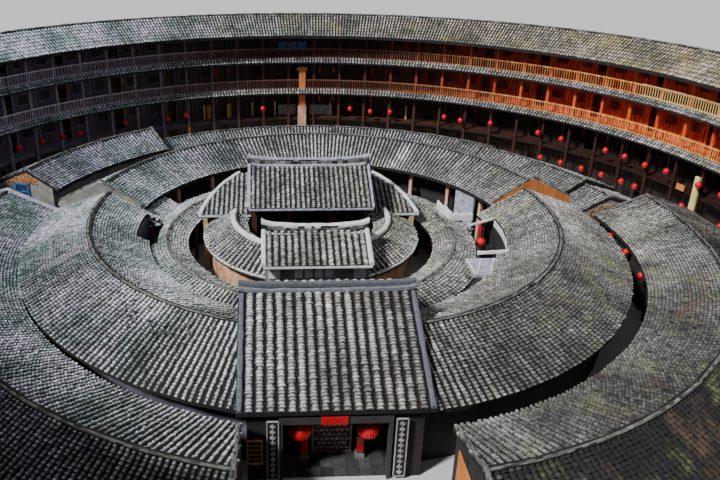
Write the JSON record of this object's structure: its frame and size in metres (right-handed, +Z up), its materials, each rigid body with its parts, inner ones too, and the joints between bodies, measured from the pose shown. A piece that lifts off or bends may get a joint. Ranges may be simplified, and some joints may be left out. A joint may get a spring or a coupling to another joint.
{
  "type": "tulou roundhouse, 1:2 scale model",
  "caption": "Round earth-walled clan house with four concentric tiled rings, timber galleries inside, a gate hall and ancestral halls at its centre.",
  "frame": {"origin": "on the ground at the common centre of the rings, bottom centre of the bounding box", "axes": "+Z up, the main gate faces -Y, +X is to the right when looking in through the gate"},
  "size_m": [38.2, 38.2, 6.97],
  "materials": {
    "earth": "rammed earth",
    "plaster": "weathered lime plaster",
    "timber": "dark weathered timber",
    "tile": "unglazed grey clay tile",
    "red": "red lantern cloth",
    "slab": "smooth screed"
  },
  "bodies": {
    "root": {"back_hall_frame": "timber", "back_hall_roof": "tile", "back_hall_walls": "plaster", "back_wing_left_roof": "tile", "back_wing_left_wall": "earth", "back_wing_right_roof": "tile", "back_wing_right_wall": "earth", "corridor_posts": "timber", "corridor_roof": "tile", "corridor_wall": "plaster", "floor_2": "timber", "floor_3": "timber", "floor_4": "timber", "front_hall_roof": "tile", "front_hall_walls": "plaster", "gallery_posts_back_left": "timber", "gallery_posts_back_right": "timber", "gallery_posts_front_left": "timber", "gallery_posts_front_right": "timber", "gallery_rail_3": "timber", "gallery_rail_4": "timber", "gate_hall_roof": "tile", "gate_hall_screen": "timber", "gate_hall_walls": "plaster", "gate_lantern_left": "red", "gate_lantern_right": "red", "main_roof_back": "tile", "main_roof_left": "tile", "main_roof_right": "tile", "outer_wall_left": "earth", "outer_wall_over_gate": "earth", "outer_wall_right": "earth", "ring2_back_right_roof": "tile", "ring2_back_right_walls": "plaster", "ring2_middle_roof": "tile", "ring2_middle_walls": "plaster", "ring2_near_left_roof": "tile", "ring2_near_left_walls": "plaster", "ring2_near_right_roof": "tile", "ring2_near_right_walls": "plaster", "ring2_raised_left_roof": "tile", "ring2_raised_left_walls": "plaster", "ring3_far_roof": "tile", "ring3_far_walls": "plaster", "ring3_near_left_roof": "tile", "ring3_near_left_walls": "plaster", "ring3_near_right_roof": "tile", "ring3_near_right_walls": "plaster", "ring3_porch_frame": "timber", "room_fronts_1": "timber", "room_fronts_2": "timber", "room_fronts_3": "timber", "room_fronts_4": "timber", "skirt_roof_3": "tile", "skirt_roof_4": "tile", "well_flat_roof": "slab", "wing_left_roof": "tile", "wing_left_wall": "earth", "wing_right_roof": "tile", "wing_right_wall": "earth"}
  },
  "joints": []
}
